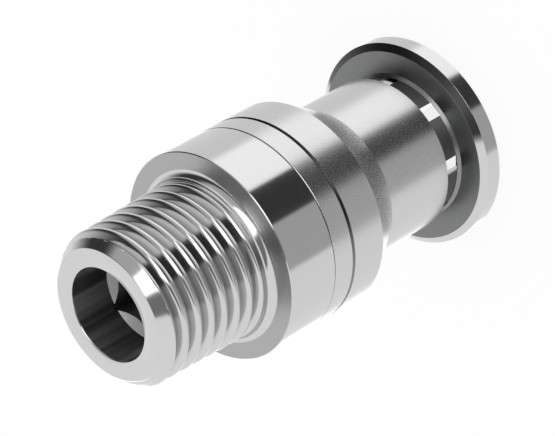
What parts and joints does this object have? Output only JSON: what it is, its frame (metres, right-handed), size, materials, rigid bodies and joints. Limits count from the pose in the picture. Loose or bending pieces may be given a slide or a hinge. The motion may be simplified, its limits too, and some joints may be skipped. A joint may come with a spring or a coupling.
{
  "type": "push-in fitting",
  "caption": "Straight stainless push-in fitting: taper male thread with a hexagon socket at one end, release ring for a plastic tube at the other.",
  "frame": {"origin": "centre of the release ring's flat rear face, on the fitting's axis", "axes": "+Z along the axis, from the tube end to the threaded end; +X is a fixed direction square to it, 27.2 degrees clockwise from one corner of the hexagon socket as seen from the threaded end"},
  "size_m": [0.0178, 0.0178, 0.0359],
  "materials": {
    "body_steel": "polished stainless steel",
    "ring_steel": "fine-turned stainless steel",
    "housing_steel": "satin stainless steel",
    "release_steel": "polished stainless steel",
    "spring_steel": "bright spring strip",
    "insert_steel": "turned stainless steel",
    "seal_rubber": "matt black rubber"
  },
  "bodies": {
    "fitting": {"threaded_body": "body_steel", "middle_ring": "ring_steel", "rear_housing": "housing_steel", "claw": "spring_steel", "backing_ring": "insert_steel", "tube_seal": "seal_rubber"},
    "ring": {"release_ring": "release_steel"}
  },
  "joints": [
    {"name": "release_ring_slide", "type": "slide", "parent": "fitting", "child": "ring", "axis": [0, 0, 1], "range_m": [0, 0.0018], "stiffness_N_per_m": 4000, "springref_m": -0.0004}
  ]
}
